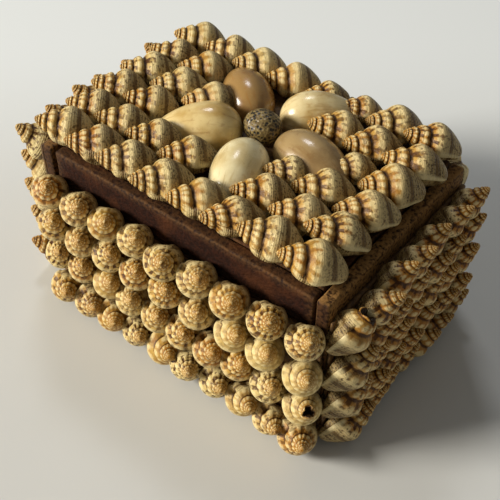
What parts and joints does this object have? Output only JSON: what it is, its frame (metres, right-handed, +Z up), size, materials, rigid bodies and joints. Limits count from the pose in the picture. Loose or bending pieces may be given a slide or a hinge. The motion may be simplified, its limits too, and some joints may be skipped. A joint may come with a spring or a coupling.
{
  "type": "shell box",
  "caption": "Small dark board box with a lift-off lid, covered with spotted whelk shells, and a flower of glossy cowries round a netted shell on the lid",
  "frame": {"origin": "middle of the flat underside of the base board, in the plane that the box stands on", "axes": "+X along the front from left to right, +Y from front to back, +Z up"},
  "size_m": [0.124, 0.0907, 0.067],
  "materials": {
    "dark_board": "dark brown stained board, matt",
    "whelk_shell": "cream to tan shell with dark brown dashes, satin",
    "cowrie_gloss": "polished beige shell, glossy",
    "netted_shell": "dark grey netted shell, satin"
  },
  "bodies": {
    "root": {"back_board": "dark_board", "back_shells": "whelk_shell", "base_board": "dark_board", "front_board": "dark_board", "front_shells": "whelk_shell", "left_board": "dark_board", "left_shells": "whelk_shell", "lid_board": "dark_board", "lid_front_lip": "dark_board", "lid_whelk_1_1": "whelk_shell", "lid_whelk_1_2": "whelk_shell", "lid_whelk_1_3": "whelk_shell", "lid_whelk_1_4": "whelk_shell", "lid_whelk_1_5": "whelk_shell", "lid_whelk_1_6": "whelk_shell", "lid_whelk_1_7": "whelk_shell", "lid_whelk_1_8": "whelk_shell", "lid_whelk_2_1": "whelk_shell", "lid_whelk_2_2": "whelk_shell", "lid_whelk_2_3": "whelk_shell", "lid_whelk_2_5": "whelk_shell", "lid_whelk_2_6": "whelk_shell", "lid_whelk_2_7": "whelk_shell", "lid_whelk_2_8": "whelk_shell", "lid_whelk_3_1": "whelk_shell", "lid_whelk_3_2": "whelk_shell", "lid_whelk_3_3": "whelk_shell", "lid_whelk_3_7": "whelk_shell", "lid_whelk_3_8": "whelk_shell", "lid_whelk_4_1": "whelk_shell", "lid_whelk_4_2": "whelk_shell", "lid_whelk_4_6": "whelk_shell", "lid_whelk_4_7": "whelk_shell", "lid_whelk_4_8": "whelk_shell", "lid_whelk_5_1": "whelk_shell", "lid_whelk_5_2": "whelk_shell", "lid_whelk_5_3": "whelk_shell", "lid_whelk_5_7": "whelk_shell", "lid_whelk_5_8": "whelk_shell", "lid_whelk_6_1": "whelk_shell", "lid_whelk_6_2": "whelk_shell", "lid_whelk_6_3": "whelk_shell", "lid_whelk_6_4": "whelk_shell", "lid_whelk_6_5": "whelk_shell", "lid_whelk_6_6": "whelk_shell", "lid_whelk_6_7": "whelk_shell", "lid_whelk_6_8": "whelk_shell", "netted_shell": "netted_shell", "petal_cowrie_1": "cowrie_gloss", "petal_cowrie_2": "cowrie_gloss", "petal_cowrie_3": "cowrie_gloss", "petal_cowrie_4": "cowrie_gloss", "petal_cowrie_5": "cowrie_gloss", "right_board": "dark_board", "right_shells": "whelk_shell"}
  },
  "joints": []
}
